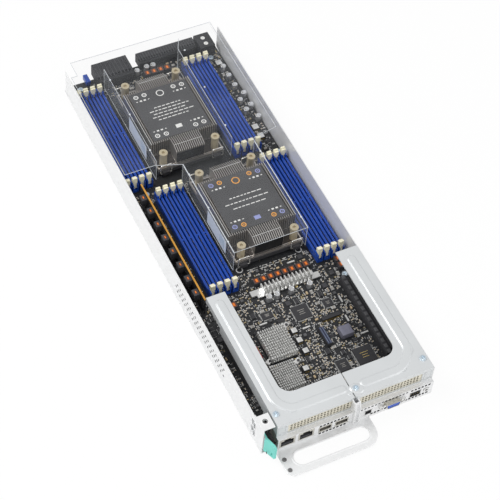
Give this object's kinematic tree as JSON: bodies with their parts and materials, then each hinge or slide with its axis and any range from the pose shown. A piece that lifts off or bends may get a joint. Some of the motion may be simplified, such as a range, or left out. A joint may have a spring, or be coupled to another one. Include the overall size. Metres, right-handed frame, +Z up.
{
  "type": "multi-node rack server compute node",
  "caption": "Half-width one-unit compute sled with finned heat sinks, blue memory sockets, clear air duct, riser brackets, port panel, pull handle and release tab.",
  "frame": {"origin": "centre of the tray floor's underside", "axes": "+X across the sled, left to right seen from the port end; +Y from the port end to the mating end; +Z up"},
  "size_m": [0.1892, 0.5575, 0.0417],
  "materials": {
    "zinc_steel": "satin",
    "bracket_steel": "satin",
    "cover_steel": "satin",
    "screw_steel": "bright",
    "spring_steel": "bright",
    "teal_plastic": "moulded",
    "board": "solder mask",
    "card_board": "laminate edge",
    "blue_plastic": "moulded",
    "ivory_plastic": "moulded",
    "black_plastic": "moulded",
    "sink_metal": "satin",
    "pale_aluminium": "satin",
    "label_film": "film",
    "nut_metal": "satin",
    "wire_steel": "bright",
    "can_metal": "bright",
    "clear_plastic": "clear",
    "port_blue": "moulded",
    "port_metal": "satin",
    "lid_metal": "satin"
  },
  "bodies": {
    "chassis": {"bar_heatsink": "pale_aluminium", "board_connectors": "black_plastic", "board_screws": "screw_steel", "board_standoffs": "spring_steel", "bracket_screws": "screw_steel", "button_switch": "black_plastic", "cage_ports": "port_metal", "capacitors": "can_metal", "card_coils": "black_plastic", "chassis_tray": "zinc_steel", "chips": "black_plastic", "divider_post": "zinc_steel", "edge_connectors": "black_plastic", "guide_block": "black_plastic", "handle_screws": "screw_steel", "heatsink_far": "sink_metal", "heatsink_labels": "label_film", "heatsink_near": "sink_metal", "io_panel": "zinc_steel", "jack_screws": "port_metal", "latch_rivets": "screw_steel", "latch_root": "spring_steel", "main_board": "board", "memory_sockets_far_left": "blue_plastic", "memory_sockets_far_right": "blue_plastic", "memory_sockets_near_left": "blue_plastic", "memory_sockets_near_right": "blue_plastic", "network_ports": "port_metal", "pin_fin_heatsinks": "pale_aluminium", "power_connector": "black_plastic", "processor_carriers": "black_plastic", "processor_sockets": "black_plastic", "processors": "lid_metal", "pull_handle": "zinc_steel", "riser_bracket_left": "bracket_steel", "riser_bracket_right": "bracket_steel", "riser_card": "card_board", "signal_connector": "black_plastic", "slot_covers": "cover_steel", "small_ports": "black_plastic", "torque_nuts": "nut_metal", "video_port_insert": "port_blue", "video_port_shell": "port_metal", "voltage_coils": "black_plastic"},
    "release_strip": {"latch_arm": "spring_steel", "latch_tab": "teal_plastic"},
    "duct": {"air_duct": "clear_plastic"},
    "button": {"power_button": "ivory_plastic"},
    "latches_near_left_inner_row": {"latches_near_left_inner": "ivory_plastic"},
    "latches_near_left_outer_row": {"latches_near_left_outer": "ivory_plastic"},
    "latches_near_right_inner_row": {"latches_near_right_inner": "ivory_plastic"},
    "latches_near_right_outer_row": {"latches_near_right_outer": "ivory_plastic"},
    "latches_far_left_inner_row": {"latches_far_left_inner": "ivory_plastic"},
    "latches_far_left_outer_row": {"latches_far_left_outer": "ivory_plastic"},
    "latches_far_right_inner_row": {"latches_far_right_inner": "ivory_plastic"},
    "latches_far_right_outer_row": {"latches_far_right_outer": "ivory_plastic"},
    "wire_bails_near_inner_pair": {"wire_bails_near_inner": "wire_steel"},
    "wire_bails_near_outer_pair": {"wire_bails_near_outer": "wire_steel"},
    "wire_bails_far_inner_pair": {"wire_bails_far_inner": "wire_steel"},
    "wire_bails_far_outer_pair": {"wire_bails_far_outer": "wire_steel"}
  },
  "joints": [
    {"name": "release_strip_flex", "type": "hinge", "parent": "chassis", "child": "release_strip", "pos_m": [-0.0923, -0.201, 0.0195], "axis": [0, 0, 1], "range_deg": [0, 3], "stiffness_Nm_per_rad": 0.5},
    {"name": "latches_near_left_inner_tilt", "type": "hinge", "parent": "chassis", "child": "latches_near_left_inner_row", "pos_m": [-0.04923, -0.0727, 0.0118], "axis": [1, 0, 0], "range_deg": [0, 24]},
    {"name": "latches_near_left_outer_tilt", "type": "hinge", "parent": "chassis", "child": "latches_near_left_outer_row", "pos_m": [-0.04923, 0.0653, 0.0118], "axis": [-1, 0, 0], "range_deg": [0, 24]},
    {"name": "latches_near_right_inner_tilt", "type": "hinge", "parent": "chassis", "child": "latches_near_right_inner_row", "pos_m": [0.07407, -0.0727, 0.0118], "axis": [1, 0, 0], "range_deg": [0, 24]},
    {"name": "latches_near_right_outer_tilt", "type": "hinge", "parent": "chassis", "child": "latches_near_right_outer_row", "pos_m": [0.07407, 0.0653, 0.0118], "axis": [-1, 0, 0], "range_deg": [0, 24]},
    {"name": "latches_far_left_inner_tilt", "type": "hinge", "parent": "chassis", "child": "latches_far_left_inner_row", "pos_m": [-0.07503, 0.0892, 0.0118], "axis": [1, 0, 0], "range_deg": [0, 24]},
    {"name": "latches_far_left_outer_tilt", "type": "hinge", "parent": "chassis", "child": "latches_far_left_outer_row", "pos_m": [-0.07503, 0.2272, 0.0118], "axis": [-1, 0, 0], "range_deg": [0, 24]},
    {"name": "latches_far_right_inner_tilt", "type": "hinge", "parent": "chassis", "child": "latches_far_right_inner_row", "pos_m": [0.05587, 0.0908, 0.0118], "axis": [1, 0, 0], "range_deg": [0, 24]},
    {"name": "latches_far_right_outer_tilt", "type": "hinge", "parent": "chassis", "child": "latches_far_right_outer_row", "pos_m": [0.05587, 0.2288, 0.0118], "axis": [-1, 0, 0], "range_deg": [0, 24]},
    {"name": "wire_bails_near_inner_swing", "type": "hinge", "parent": "chassis", "child": "wire_bails_near_inner_pair", "pos_m": [0.0147, -0.0525, 0.01185], "axis": [1, 0, 0], "range_deg": [0, 40]},
    {"name": "wire_bails_near_outer_swing", "type": "hinge", "parent": "chassis", "child": "wire_bails_near_outer_pair", "pos_m": [0.0147, 0.0705, 0.01185], "axis": [-1, 0, 0], "range_deg": [0, 40]},
    {"name": "wire_bails_far_inner_swing", "type": "hinge", "parent": "chassis", "child": "wire_bails_far_inner_pair", "pos_m": [-0.0091, 0.0937, 0.01185], "axis": [1, 0, 0], "range_deg": [0, 40]},
    {"name": "wire_bails_far_outer_swing", "type": "hinge", "parent": "chassis", "child": "wire_bails_far_outer_pair", "pos_m": [-0.0091, 0.2167, 0.01185], "axis": [-1, 0, 0], "range_deg": [0, 40]},
    {"name": "duct_lift", "type": "slide", "parent": "chassis", "child": "duct", "axis": [0, 0, 1], "range_m": [0, 0.05]},
    {"name": "button_press", "type": "slide", "parent": "chassis", "child": "button", "axis": [0, 1, 0], "range_m": [0, 0.0008], "stiffness_N_per_m": 400, "springref_m": -0.002}
  ]
}
